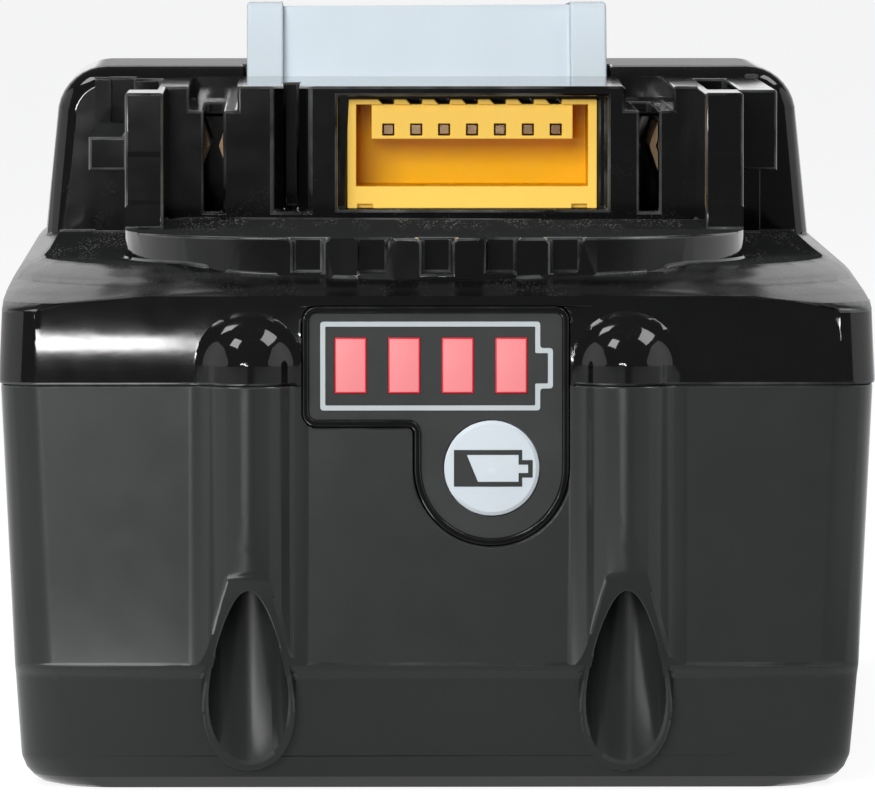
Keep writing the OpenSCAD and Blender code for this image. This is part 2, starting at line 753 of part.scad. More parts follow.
module upper_case() {
    bay_y = at(upper_panel_d + wall_t);
    bay_hw = body_w / 2 - wall_t;
    bay_r = corner_r - wall_t + 0.4;
    bay_top_r = plateau_r / 3;
    color("#141517")
        difference() {
            cover_body();
            difference() {
                union() {
                    translate([0, 0, seam_z - over])
                        linear_extrude(holder_top_z - seam_z + over)
                            polygon(slab(bay_hw, bay_y, -bay_y, bay_r, bay_r));
                    translate([0, 0, holder_top_z - join])
                        linear_extrude(ceiling_z - holder_top_z + join)
                            polygon(slab(bay_hw - cover_draft, bay_y, -bay_y, bay_top_r, bay_r));
                }
                at_columns()
                    translate([0, 0, seam_z])
                        cylinder(h = ceiling_z, r = column_r);
            }
            translate([0, 0, ceiling_z - join])
                linear_extrude(platform_z - wall_t - ceiling_z + join)
                    platform_outline(wall_t + vent_d, block_d + plug_d);
            for (i = [0:vent_count - 1])
                translate([(i - (vent_count - 1) / 2) * vent_pitch, 0, 0])
                    along_y(at(0), at(platform_d + vent_d))
                        polygon([
                            [-vent_w / 2, slope_top_z], [vent_w / 2, slope_top_z],
                            [vent_w / 2, platform_z - vent_lead], [vent_w / 2 + vent_lead, platform_z],
                            [vent_w / 2 + vent_lead, platform_z + over],
                            [-vent_w / 2 - vent_lead, platform_z + over],
                            [-vent_w / 2 - vent_lead, platform_z], [-vent_w / 2, platform_z - vent_lead]
                        ]);
            for (s = [-1, 1])
                mirror([s < 0 ? 1 : 0, 0, 0])
                    span([rail_in + core_wall, rail_in + core_wall + core_w],
                        [at(flange_d + core_d0), at(flange_d + core_d0 + core_l)],
                        [deck_z - core_d, deck_z + over]);
            span([-flange_hw + 1.2, -rail_hw], [at(wall_d - pillar_l - over), at(wall_d - 0.8)],
                [flange_z + key_h - join, deck_z + over]);
            terminal_cuts();
            guide_cut();
            connector_cuts();
            latch_cuts();
            at_columns()
                translate([0, 0, seam_z - over])
                    cylinder(h = head_seat_z + screw_len - seam_z + over + join, r = screw_d / 2 + fit);
            along_y(at(-over), at(upper_panel_d + wall_t + over))
                gauge_outline(rim_w + fit);
        }
}

module release_latch() {
    hook_y = at(hook_d);
    foot_z = web_z;
    web_end = at(rear_wall_d - wall_t - run);
    pad_y = at(pad_out_d);
    color("#d5dde3")
        difference() {
            union() {
                along_x(-latch_hw, latch_hw)
                    polygon([
                        [hook_y, foot_z], [hook_y + hook_t, foot_z], [hook_y + hook_t, hook_z],
                        [hook_y + hook_lean + 0.6, hook_z], [hook_y + hook_lean, hook_z - 0.5],
                        [hook_y, deck_z]
                    ]);
                span([-latch_hw, latch_hw], [hook_y + join, web_end], [web_z, web_z + web_t]);
                span([-pad_hw, pad_hw], [web_end - join, pad_y], [pad_z, pad_top_z]);
                for (i = [1:pad_ribs])
                    rod_x(pad_y, pad_z + pad_h * i / (pad_ribs + 1), pad_hw - 2, 0.7);
                for (s = [-1, 1])
                    translate([s * spring_x, spring_y, web_z - 1.5])
                        cylinder(h = 1.5 + join, d = spring_d - 2 * spring_wire - 2 * run);
            }
            along_x(hook_post_w - latch_hw, latch_hw - hook_post_w)
                polygon([
                    [hook_y - over, deck_z - 0.6], [hook_y + hook_panel_d, deck_z - 0.6],
                    [hook_y + hook_lean + hook_panel_d, hook_z - 0.4],
                    [hook_y + hook_lean + hook_panel_d, hook_z + over], [hook_y - over, hook_z + over]
                ]);
            span([-latch_hw + hook_post_w, latch_hw - hook_post_w], [hook_y - over, hook_y + hook_t + over],
                [hook_z - 0.4, hook_z + over]);
        }
}

module latch_base() {
    color("#55585a")
        union() {
            span([-cell_len / 2 + 1, cell_len / 2 - 1], latch_base_y, [holder_top_z, seat_z]);
            for (s = [-1, 1])
                translate([s * spring_x, spring_y, seat_z - join])
                    cylinder(h = 1.2 + join, d = spring_d - 2 * spring_wire - 2 * run);
        }
}

// Compression spring wound from its seat up to the latch
module latch_spring(s) {
    r = (spring_d - spring_wire) / 2;
    rings = 8 * spring_turns;
    low = seat_z + spring_wire / 2;
    high = web_z - spring_wire / 2;
    color("#b8bcc0")
        translate([s * spring_x, spring_y, 0])
            loft([for (k = [0:rings])
                let (a = 360 * k / 8, z = low + (high - low) * k / rings)
                [for (i = [0:5]) let (b = -60 * i, q = r + spring_wire / 2 * cos(b))
                    [q * cos(a), q * sin(a), z + spring_wire / 2 * sin(b)]]]);
}

module connector_housing() {
    back_d = plug_front_d + plug_l;
    hw = plug_w / 2;
    top_z = plug_z + plug_h;
    inner = hw - plug_wall;
    bar_hw = inner - bar_gap;
    color("#f0b030")
        translate([plug_x, 0, 0])
            difference() {
                union() {
                    difference() {
                        span([-hw, hw], [at(plug_front_d), at(back_d)], [plug_z, top_z]);
                        span([-inner, inner], [at(plug_front_d - over), at(back_d - plug_wall)],
                            [plug_z + plug_floor, top_z - bar_slot_h]);
                    }
                    span([-bar_hw, bar_hw], [at(plug_front_d + 0.5), at(back_d)], [bar_z, top_z]);
                    span([-hw + 0.6, hw - 0.6], [at(plug_front_d + plug_l / 2), at(back_d)],
                        [board_top_z, plug_z + join]);
                }
                for (i = [0:contacts - 1])
                    translate([(i - (contacts - 1) / 2) * contact_pitch, 0, 0]) {
                        span([-contact_hole / 2, contact_hole / 2], [at(plug_front_d), at(back_d + over)],
                            [contact_z - contact_hole / 2, contact_z + contact_hole / 2]);
                        along_y(at(plug_front_d - over), at(back_d + over))
                            polygon([
                                [bar_slot_w / 2, top_z - bar_slot_h], [bar_slot_w / 2, top_z + over],
                                [-bar_slot_w / 2 - bar_slot_lead, top_z + over],
                                [-bar_slot_w / 2 - bar_slot_lead, top_z],
                                [-bar_slot_w / 2, top_z - bar_slot_h]
                            ]);
                    }
                for (s = [-1, 1])
                    translate([s * (hw - 1.6), 0, 0])
                        span([-0.7, 0.7], [at(plug_front_d - over), at(plug_front_d + 1)],
                            [plug_z - over, plug_z + 0.4]);
            }
}

// One contact, from the connector's bar down to the main board
module signal_contact(i) {
    x = plug_x + (i - (contacts + 1) / 2) * contact_pitch;
    back_d = plug_front_d + plug_l + 0.6;
    color("#b87333")
        union() {
            span([x - contact_w / 2, x + contact_w / 2], [at(plug_front_d + 1.4), at(back_d + contact_w)],
                [contact_z - contact_w / 2, contact_z + contact_w / 2]);
            span([x - contact_w / 2, x + contact_w / 2], [at(back_d), at(back_d + contact_w)],
                [board_top_z, contact_z + contact_w / 2]);
        }
}

// Spring clip with two jaws, standing on the main board behind a power slot
module power_terminal(s) {
    top_z = deck_z - channel_d - 1.6;
    y0 = at(block_d + clip_d);
    hw = clip_w / 2;
    color("#c98a4b")
        translate([s * slot_x, 0, 0]) {
            span([-hw, hw], [y0, y0 + clip_l], [board_top_z, board_top_z + clip_t]);
            for (m = [0, 1])
                mirror([m, 0, 0])
                    along_y(y0, y0 + clip_l)
                        polygon([
                            [hw, board_top_z], [hw, top_z - 6], [0.4 + clip_t, top_z - 2],
                            [1.1 + clip_t, top_z], [1.1, top_z], [0.4, top_z - 2], [hw - clip_t, top_z - 6],
                            [hw - clip_t, board_top_z]
                        ]);
        }
}

module gauge_bezel() {
    color("#101113")
        difference() {
            union() {
                along_y(at(bezel_front_d), at(bezel_back_d))
                    gauge_outline(rim_w);
                along_y(at(panel_d + wall_t + fit), at(flange_back_d))
                    gauge_outline(rim_w + bezel_flange);
                for (x = [gauge_left + 1.2, gauge_right - 1.2])
                    rod_y(x, gauge_z[0] + 0.6, at(bezel_back_d), at(gauge_board_d), 0.8);
            }
            along_y(at(bezel_front_d - over), at(overlay_d + overlay_t))
                gauge_outline(fit / 2);
            at_lenses()
                span([-lens_w / 2 - fit / 2, lens_w / 2 + fit / 2], [at(0), at(flange_back_d + over)],
                    [-lens_h / 2 - fit / 2, lens_h / 2 + fit / 2]);
            rod_y(button_x, button_z, at(0), at(bezel_back_d + over), button_d / 2 + fit);
            rod_y(button_x, button_z, at(bezel_back_d - 0.9), at(flange_back_d + over),
                button_d / 2 + 0.7 + fit);
        }
}

module gauge_overlay() {
    color("#3a3c3d")
        difference() {
            along_y(at(overlay_d), at(overlay_d + overlay_t))
                gauge_outline(0);
            at_lenses()
                span([-lens_w / 2 - fit / 2, lens_w / 2 + fit / 2], [at(0), at(flange_back_d)],
                    [-lens_h / 2 - fit / 2, lens_h / 2 + fit / 2]);
            rod_y(button_x, button_z, at(0), at(flange_back_d), button_d / 2 + fit);
        }
}

module gauge_lens(i) {
    color("#f08a90")
        translate([lens_place(i), 0, seam_z + lens_rise])
            span([-lens_w / 2, lens_w / 2], [at(overlay_d), at(led_front_d)], [-lens_h / 2, lens_h / 2]);
}

module gauge_led(i) {
    color("#d02030")
        translate([lens_place(i), 0, seam_z + lens_rise])
            span([-0.8, 0.8], [at(led_front_d), at(gauge_board_d)], [-0.4, 0.4]);
}

module check_button() {
    r = button_d / 2;
    front = overlay_d - 0.3;
    collar = bezel_back_d - 0.9 + fit;
    color("#dfe6ec")
        translate([button_x, at(0), button_z])
            rotate([-90, 0, 0])
                rotate_extrude()
                    polygon([
                        [0, front], [r * 0.5, front + 0.04], [r - 0.3, front + 0.12], [r, front + 0.3],
                        [r, collar], [r + 0.6, collar], [r + 0.6, collar + 0.5], [plunger_r, collar + 0.5],
                        [plunger_r, stem_d], [0, stem_d]
                    ]);
}

module switch_plunger() {
    color("#c0a040")
        rod_y(button_x, button_z, at(stem_d), at(switch_front_d + 0.3), plunger_r);
}

module tact_switch() {
    color("#2a2c2e")
        difference() {
            span([button_x - 2.2, button_x + 2.2], [at(switch_front_d), at(gauge_board_d)],
                [button_z - 2.2, button_z + 2.2]);
            rod_y(button_x, button_z, at(0), at(switch_front_d + 0.3 + button_travel + 0.05),
                plunger_r + 0.05);
        }
}

module gauge_board() {
    color("#1f6b3a")
        span([gauge_left, gauge_right], [at(gauge_board_d), at(gauge_board_back_d)],
            [button_z - lobe_r, gauge_z[1] - 0.4]);
}

// Flat cable from the gauge board up and over to the main board
module gauge_ribbon() {
    y0 = at(gauge_board_back_d);
    y1 = at(board_d + ribbon_end);
    foot = gauge_z[1] - 0.4 - ribbon_end;
    top = board_top_z + ribbon_t;
    color("#e8e2d0")
        along_x(-ribbon_w / 2, ribbon_w / 2)
            polygon([
                [y0, foot], [y0 + ribbon_t, foot], [y0 + ribbon_t, board_top_z], [y1, board_top_z],
                [y1, top], [y0, top]
            ]);
}

module main_board() {
    color("#1f6b3a")
        span([-cell_len / 2, cell_len / 2], board_y, [holder_top_z, board_top_z]);
}

module control_chip() {
    color("#26282a")
        span([-chip_w / 2, chip_w / 2], [at(board_d + chip_d), at(board_d + chip_d + chip_w)],
            [board_top_z, board_top_z + chip_t]);
}

module power_switch(i) {
    x = i == 1 ? -power_switch_x : power_switch_x;
    color("#26282a")
        span([x - 3, x + 3], [at(board_d + chip_d), at(board_d + chip_d + 5)],
            [board_top_z, board_top_z + 1.1]);
}

// Place of a cell along the pack and its height
function cell_y(i) = ((i - 1) % series - (series - 1) / 2) * cell_pitch;
function cell_z(i) = bottom_layer_z + floor((i - 1) / series) * cell_pitch;

module cell(i) {
    color(i % 2 == 0 ? "#3f8f6b" : "#38805f")
        translate([-cell_len / 2, cell_y(i), cell_z(i)])
            rotate([0, 90, 0])
                cylinder(h = cell_len, d = cell_d);
}

module cell_holder(s) {
    r = cell_r + fit + holder_skin;
    c = [row_half - cell_r, bottom_layer_z];
    outline = concat(
        arc([c[0], c[1]], r, 270, 360, 6), [[holder_end, holder_top_z]], [[-holder_end, holder_top_z]],
        arc([-c[0], c[1]], r, 180, 270, 6));
    x0 = s < 0 ? -cell_len / 2 : cell_len / 2 - holder_grip;
    color("#8d9296")
        difference() {
            along_x(x0, x0 + holder_grip)
                polygon(outline);
            for (i = [1:series * layers])
                translate([x0 - over, cell_y(i), cell_z(i)])
                    rotate([0, 90, 0])
                        cylinder(h = holder_grip + 2 * over, r = cell_r + fit);
        }
}

module cell_tab(s, i) {
    columns = tab_columns[s < 0 ? 0 : 1][i - 1];
    y0 = cell_y(columns[0]) - cell_r + 2.4;
    y1 = cell_y(columns[1]) + cell_r - 2.4;
    tongue = max(board_y[0] + tongue_w / 2, min((y0 + y1) / 2, board_y[1] - tongue_w / 2));
    tongue_y = [tongue - tongue_w / 2, tongue + tongue_w / 2];
    x = s < 0 ? [-cell_len / 2 - tab_t, -cell_len / 2] : [cell_len / 2, cell_len / 2 + tab_t];
    color("#c4c8cc")
        union() {
            span(x, [y0, y1], [bottom_layer_z - cell_r + 2.4, top_layer_z + cell_r - 2.4]);
            span(x, [min(tongue_y[0], y0), max(tongue_y[1], y1)], [top_layer_z - 2, top_layer_z + 2]);
            span(x, tongue_y, [top_layer_z, board_top_z]);
        }
}

module insulator(s) {
    x = cell_len / 2 + tab_t;
    color("#e4dcc4")
        span(s < 0 ? [-x - insulator_t, -x] : [x, x + insulator_t], [-row_half + 3, row_half - 3],
            [bottom_layer_z - cell_r + 3, holder_top_z - 1]);
}

module case_screws() {
    color("#9aa0a4")
        at_columns()
            rotate_extrude()
                polygon([
                    [0, head_seat_z - screw_head_h], [screw_head_d / 2, head_seat_z - screw_head_h],
                    [screw_head_d / 2, head_seat_z], [screw_d / 2, head_seat_z],
                    [screw_d / 2, head_seat_z + screw_len - 0.8], [0.5, head_seat_z + screw_len],
                    [0, head_seat_z + screw_len]
                ]);
}

lower_case();
upper_case();
release_latch();
latch_base();
latch_spring(-1);  // latch_spring_left
latch_spring(1);  // latch_spring_right
connector_housing();
power_terminal(1);  // positive_terminal
power_terminal(-1);  // negative_terminal
gauge_bezel();
gauge_overlay();
check_button();
gauge_board();
tact_switch();
switch_plunger();
gauge_ribbon();
main_board();
control_chip();
cell_holder(-1);  // cell_holder_left
cell_holder(1);  // cell_holder_right
insulator(-1);  // insulator_left
insulator(1);  // insulator_right
case_screws();
for (i = [1:contacts])
    signal_contact(i);
for (i = [1:lenses]) {
    gauge_lens(i);
    gauge_led(i);
}
for (i = [1:2])
    power_switch(i);
for (i = [1:series * layers])
    cell(i);
for (i = [1:3]) {
    cell_tab(-1, i);
    cell_tab(1, i);
}
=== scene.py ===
# %% [markdown]
# # A slide-on battery pack
# The pack's solids come packed from CAD, in metres, and stay where they are.
# This lesson gives them rounded mould edges, wound springs, printed signs, finishes and studio light.

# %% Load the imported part
import json
import math

import bmesh
import bpy
from mathutils import Matrix, Vector
from mathutils.bvhtree import BVHTree
from mathutils.kdtree import KDTree


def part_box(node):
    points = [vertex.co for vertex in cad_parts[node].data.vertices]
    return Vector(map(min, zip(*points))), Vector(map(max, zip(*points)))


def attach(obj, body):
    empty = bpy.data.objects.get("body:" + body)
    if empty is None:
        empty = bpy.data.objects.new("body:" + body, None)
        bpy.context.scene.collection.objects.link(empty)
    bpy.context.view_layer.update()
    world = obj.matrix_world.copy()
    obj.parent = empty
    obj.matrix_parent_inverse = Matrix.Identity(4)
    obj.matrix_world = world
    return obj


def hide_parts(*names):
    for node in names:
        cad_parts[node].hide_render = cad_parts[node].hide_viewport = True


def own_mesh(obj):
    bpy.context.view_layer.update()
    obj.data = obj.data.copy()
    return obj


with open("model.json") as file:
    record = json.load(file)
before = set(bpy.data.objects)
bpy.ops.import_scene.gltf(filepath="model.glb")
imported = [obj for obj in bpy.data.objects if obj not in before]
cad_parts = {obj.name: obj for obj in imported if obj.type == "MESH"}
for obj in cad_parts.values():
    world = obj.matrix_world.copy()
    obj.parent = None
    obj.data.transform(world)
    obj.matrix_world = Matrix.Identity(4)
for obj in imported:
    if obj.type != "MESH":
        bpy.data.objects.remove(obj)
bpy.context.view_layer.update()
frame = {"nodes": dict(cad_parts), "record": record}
nodes = frame["nodes"]
scene = bpy.context.scene
scene.view_settings.view_transform = "Standard"
MM = 0.001

# %% [markdown]
# ## Camera
# The photo was taken with a long lens from a little above the pack.
# A lens can be matched by eye or worked out from known points. Here the corners of the case gave
# the distance, the tilt and the focal length in pixels.

# %% Place the camera
PHOTO_WIDTH = 875
FOCAL_PIXELS = 10440
SENSOR_WIDTH = 36
CAMERA_SPOT = (-0.0115, -0.957, 0.0863)
TILT_DOWN = 3.29
TURN_RIGHT = 0.73
camera_data = bpy.data.cameras.new("photo_camera")
camera_data.sensor_width = SENSOR_WIDTH
camera_data.lens = SENSOR_WIDTH * FOCAL_PIXELS / PHOTO_WIDTH
camera_data.clip_end = 20
camera = bpy.data.objects.new("photo_camera", camera_data)
camera.location = CAMERA_SPOT
camera.rotation_euler = (math.radians(90 - TILT_DOWN), 0, math.radians(-TURN_RIGHT))
scene.collection.objects.link(camera)
scene.camera = camera
print("camera lens", round(camera_data.lens, 1), "mm")

# %% [markdown]
# ## Copies of CAD pieces
# A CAD mesh comes as loose triangles, and it has to stay as it is. So finer pieces start from a merged copy,
# and stand in for their CAD node in the picture, on the same body and with the same finish.

# %% Helpers for copies
MERGE_DISTANCE = 0.002 * MM


def finished(bm, name, smooth=35, normals=None):
    """Turns a bmesh into a linked object with smooth shading, or with a normal for each face corner."""
    for face in bm.faces:
        face.smooth = True
    mesh = bpy.data.meshes.new(name)
    bm.to_mesh(mesh)
    bm.free()
    if normals:
        mesh.normals_split_custom_set(normals)
    else:
        mesh.set_sharp_from_angle(angle=math.radians(smooth))
    piece = bpy.data.objects.new(name, mesh)
    scene.collection.objects.link(piece)
    return piece


def merged_copy(node):
    """A bmesh of a CAD node with its loose triangles joined."""
    bm = bmesh.new()
    bm.from_mesh(nodes[node].data)
    bmesh.ops.remove_doubles(bm, verts=bm.verts, dist=MERGE_DISTANCE)
    bm.normal_update()
    return bm


def stand_for(piece, node, body):
    """Lets a piece take the place of a CAD node on its body, and hides the node."""
    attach(piece, body)
    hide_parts(node)


# %% [markdown]
# ## Rounded mould edges
# A moulded part has no true corners: each edge is a small round that catches the light.
# A Bevel modifier would do it too, but its clamp shrinks every round to suit the shortest edge.
# So a merged copy is bevelled with bmesh without the clamp. Where two rounds are too close they fold over
# each other, so the helper looks for folded faces, leaves those edges sharp and tries again.

# %% Helpers that round edges
FARTHEST = 0.7
AGAINST = -0.1
LEAST_AREA = 1e-11
MOST_TRIES = 12
SHARP_TURN = 32
LEAST_LENGTH = 1.5
EDGE_MARKS = (0.05, 0.5, 0.95)


def folded_faces(bm, skin, radius):
    """Middles of faces that left the CAD skin or point against it."""
    folded = []
    for face in bm.faces:
        middle = face.calc_center_median()
        spot, normal, index, distance = skin.find_nearest(middle)
        turned = face.normal.dot(normal) < AGAINST and face.calc_area() > LEAST_AREA
        if distance > FARTHEST * radius or turned:
            folded.append(middle)
    return folded


def edges_to_round(bm, radius, left_sharp):
    """Sharp edges that are long enough for the round, or run on as part of one line."""
    corners = {e for e in bm.edges if e.is_manifold and e.calc_face_angle() > math.radians(SHARP_TURN)}
    chosen = []
    for edge in corners:
        runs_on = all(sum(k in corners for k in v.link_edges) == 2 for v in edge.verts)
        if edge.index not in left_sharp and (edge.calc_length() > LEAST_LENGTH * radius or runs_on):
            chosen.append(edge)
    return sorted(chosen, key=lambda edge: edge.index)


def rounded_copy(node, radius):
    """A copy of a CAD node whose sharp edges are rounded wherever they don't fold."""
    skin = BVHTree.FromBMesh(merged_copy(node))
    left_sharp = set()
    count = len(EDGE_MARKS)
    for attempt in range(MOST_TRIES):
        bm = merged_copy(node)
        # This mark on the small rounds also lets them be painted pale, as wear and as a painted highlight.
        small_round = bm.faces.layers.float.new("edge_wear_and_highlight")
        bm.edges.index_update()
        sharp = edges_to_round(bm, radius, left_sharp)
        indices = [edge.index for edge in sharp]
        marks = KDTree(count * len(sharp))
        for i, edge in enumerate(sharp):
            for k, share in enumerate(EDGE_MARKS):
                marks.insert(edge.verts[0].co.lerp(edge.verts[1].co, share), count * i + k)
        marks.balance()
        made = bmesh.ops.bevel(bm, geom=sharp, offset=radius, offset_type="OFFSET", affect="EDGES",
                               segments=2, profile=0.5, material=-1, clamp_overlap=False,
                               loop_slide=False)
        for face in made["faces"]:
            face[small_round] = 1
        bm.normal_update()
        folded = folded_faces(bm, skin, radius)
        if not folded:
            break
        for spot in folded:
            left_sharp.update(indices[mark // count] for point, mark, distance in marks.find_n(spot, 2))
    return bm, len(indices), len(left_sharp), len(folded)


# %% [markdown]
# ## Normals of a moulded skin
# Smooth shading would bend the light across large flats, and a Weighted Normal modifier would not know the small
# rounds. So each face corner gets its own normal: large flats count most, and a small round takes the
# normals of the flats beside it, so that it runs from one to the next.

# %% Helpers for normals
SAME_FLAT = 0.99995
ROUND_TURN = 50
FLAT_TURN = 26


def flat_areas(bm):
    """The area, in square millimetres, of the whole flat that each face belongs to."""
    areas = {}
    for start in bm.faces:
        if start in areas:
            continue
        areas[start] = 0
        flat = [start]
        for face in flat:
            for edge in face.edges:
                for other in edge.link_faces:
                    if other not in areas and other.normal.dot(start.normal) > SAME_FLAT:
                        areas[other] = 0
                        flat.append(other)
        total = sum(face.calc_area() for face in flat) / MM ** 2
        for face in flat:
            areas[face] = total
    return areas


def corner_normals(bm):
    """Normals that keep flats flat and curves smooth."""
    small_round = bm.faces.layers.float["edge_wear_and_highlight"]
    areas = flat_areas(bm)
    normals = []
    for face in bm.faces:
        for loop in face.loops:
            near = []
            for other in loop.vert.link_loops:
                turn = ROUND_TURN if face[small_round] or other.face[small_round] else FLAT_TURN
                if other.face.normal.dot(face.normal) > math.cos(math.radians(turn)):
                    near.append(other)
            firm = [other for other in near if not other.face[small_round]] or near
            total = Vector()
            for other in firm:
                total += other.face.normal * (other.calc_angle() * areas[other.face])
            normals.append(total.normalized() if total.length else face.normal.copy())
    return normals


# %% [markdown]
# ## The crowned band
# The upright band of the upper case leans back a little more towards its top, which draws the soft box out
# into one bright strip. The CAD band is flat, so the copy is cut into level strips with bisect_plane and
# each cut moves back by its share. The cuts list their faces in another order each run, so all faces are put
# in order from the lowest up, and the normals then come out the same every time.

# %% Helpers for the crown
BAND_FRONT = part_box("upper_case")[0][1] + 2.4 * MM
BAND_FOOT = 35.7 * MM
BAND_TOP = 43.4 * MM
BAND_STRIPS = 8
CROWN = 0.378 * MM


def place_of(face):
    """Where a face lies, by height, then depth, then across, in millimetres."""
    return tuple(round(v / MM, 3) for v in reversed(face.calc_center_median()))


def crown_band(bm):
    """Leans the front band of the upper case back towards its top."""
    for level in range(1, BAND_STRIPS):
        height = BAND_FOOT + (BAND_TOP - BAND_FOOT) * level / BAND_STRIPS
        parts = {}
        for face in bm.faces:
            heights = [v.co.z for v in face.verts]
            in_front = face.normal.y < -0.9 and face.calc_center_median().y < BAND_FRONT + 0.5 * MM
            if in_front and min(heights) < height < max(heights):
                parts.update(dict.fromkeys([face, *face.edges, *face.verts]))
        bmesh.ops.bisect_plane(bm, geom=list(parts), dist=1e-7, plane_co=(0, 0, height), plane_no=(0, 0, 1))
    bm.normal_update()
    moved = 0
    for v in bm.verts:
        share = (v.co.z - BAND_FOOT) / (BAND_TOP - BAND_FOOT)
        if abs(v.co.y - BAND_FRONT) < 0.06 * MM and 0 < share < 1:
            v.co.y = BAND_FRONT + CROWN * share ** 2
            moved += 1
    bm.normal_update()
    order = {face: number for number, face in enumerate(sorted(bm.faces, key=place_of))}
    bm.faces.sort(key=order.get)
    return moved


# %% [markdown]
# ## Rounded shells
# Both case halves, the latch, the connector and the bezel are moulded. One loop rounds them all, each by the
# radius in millimetres that suits its size, and prints how many edges stayed sharp.

# %% Round the case, the latch, the connector and the bezel
ROUNDED = [
    ("upper_case", "case", "case_black", 0.25),
    ("lower_case", "case", "case_grey", 0.22),
    ("release_latch", "latch", "latch_plastic", 0.3),
    ("connector_housing", "case", "connector_yellow", 0.1),
    ("gauge_bezel", "case", "bezel_black", 0.14),
]
shells = {}
for node, body, slot, radius in ROUNDED:
    bm, count, left, folded = rounded_copy(node, radius * MM)
    if node == "upper_case":
        print("crown:", crown_band(bm), "points moved")
    open_edges = sum(not e.is_manifold for e in bm.edges)
    shell = finished(bm, node + "_shell", normals=corner_normals(bm))
    shells[node] = shell
    stand_for(shell, node, body)
    print(node, count, "edges rounded,", left, "left sharp,", folded, "folded,", open_edges, "open")

# %% [markdown]
# ## Wound springs
# Two coil springs carry the latch and shorten when it is pressed. The CAD coil is stiff and its wire has six
# sides. A coil can be wound by one spin with a rise at each step, so a small disc of wire is spun about the
# spring's own axis.

# %% Wind the springs
WIRE = 0.7 * MM
WIRE_SIDES = 10
TURNS = 5
STEPS = 24 * TURNS
for node in ("latch_spring_left", "latch_spring_right"):
    low, high = (Vector(corner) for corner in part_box(node))
    height = high.z - low.z
    seat = Vector(((low.x + high.x) / 2, (low.y + high.y) / 2, low.z))
    start = seat + Vector(((high.x - low.x - WIRE) / 2, 0, WIRE / 2))
    upright = Matrix.Translation(start) @ Matrix.Rotation(math.radians(90), 4, "X")
    bm = bmesh.new()
    bmesh.ops.create_circle(bm, cap_ends=True, segments=WIRE_SIDES, radius=WIRE / 2, matrix=upright)
    bmesh.ops.spin(bm, geom=[*bm.verts, *bm.edges, *bm.faces], cent=seat, axis=(0, 0, 1),
                   dvec=(0, 0, (height - WIRE) / STEPS), angle=math.radians(360 * TURNS), steps=STEPS,
                   use_merge=False)
    bmesh.ops.recalc_face_normals(bm, faces=bm.faces)
    open_edges = sum(not e.is_manifold for e in bm.edges)
    spring = finished(bm, node + "_coil", smooth=50)
    shells[node] = spring
    stand_for(spring, node, "case")
    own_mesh(spring)
    print(node, "wound in", len(spring.data.polygons), "faces,", open_edges, "open edges")

# %% [markdown]
# ## Finishes
# Each finish is a small tree of nodes on Object coordinates, so its grain stays on the piece.
# An image would do for one view, but it would stretch on a moulded part, so patterns are worked out in space.
# These helpers add a node, join values and blend colours.

# %% Helpers for shader trees
def add_node(tree, kind, **values):
    """Adds a shader node and sets its input sockets by name."""
    node = tree.nodes.new(kind)
    for name, value in values.items():
        node.inputs[name.replace("_", " ")].default_value = value
    return node


def blank_finish(name):
    """A new material with its tree, its main shader and its Object coordinates."""
    material = bpy.data.materials.new(name)
    material.use_nodes = True
    tree = material.node_tree
    shader = tree.nodes["Principled BSDF"]
    place = tree.nodes.new("ShaderNodeTexCoord").outputs["Object"]
    return material, tree, shader, place


def axes_of(tree, vector):
    """The X, Y and Z of a vector."""
    node = tree.nodes.new("ShaderNodeSeparateXYZ")
    tree.links.new(vector, node.inputs["Vector"])
    return node.outputs


def noise_at(tree, place, scale, detail=3):
    """Noise on a piece's own coordinates. The scale is in grains to the metre."""
    noise = add_node(tree, "ShaderNodeTexNoise", Scale=scale, Detail=detail)
    tree.links.new(place, noise.inputs["Vector"])
    return noise.outputs["Fac"]


def ranged(tree, value, low, high, start=0.3, stop=0.7):
    """Stretches a value between two numbers."""
    node = add_node(tree, "ShaderNodeMapRange", From_Min=start, From_Max=stop, To_Min=low, To_Max=high)
    tree.links.new(value, node.inputs["Value"])
    return node.outputs["Result"]


def joined(tree, operation, first, *others):
    """Takes values together by one sum, such as ADD or MULTIPLY."""
    for other in others:
        node = tree.nodes.new("ShaderNodeMath")
        node.operation = operation
        tree.links.new(first, node.inputs[0])
        tree.links.new(other, node.inputs[1])
        first = node.outputs["Value"]
    return first


def two_tone(tree, value, dark, light):
    """Blends two colours by a value."""
    ramp = tree.nodes.new("ShaderNodeValToRGB")
    for end, position, colour in zip(ramp.color_ramp.elements, (0.3, 0.7), (dark, light)):
        end.position = position
        end.color = (*colour, 1)
    tree.links.new(value, ramp.inputs["Fac"])
    return ramp.outputs["Color"]


def recolour(tree, shader, share, colour):
    """Takes the finish towards a colour by a share."""
    blend = tree.nodes.new("ShaderNodeMix")
    blend.data_type = "RGBA"
    tree.links.new(share, blend.inputs["Factor"])
    tree.links.new(shader.inputs["Base Color"].links[0].from_socket, blend.inputs["A"])
    blend.inputs["B"].default_value = (*colour, 1)
    tree.links.new(blend.outputs["Result"], shader.inputs["Base Color"])


# %% [markdown]
# ## Moulded plastic and pale edges
# Real moulded plastic is never one flat colour: its tone drifts a little, its gloss drifts with it, and a fine
# grain breaks up reflections. Three noises at different scales give that. The small rounds are painted pale,
# partly as wear, since use rubs the edges first, and partly as a painted highlight. The rounded copies carry a
# mark on their small rounds, which a noise lets through in places.

# %% Helpers for moulded finishes
TONE_SCALE = 90
GLOSS_SCALE = 350
RUB_SCALE = 240


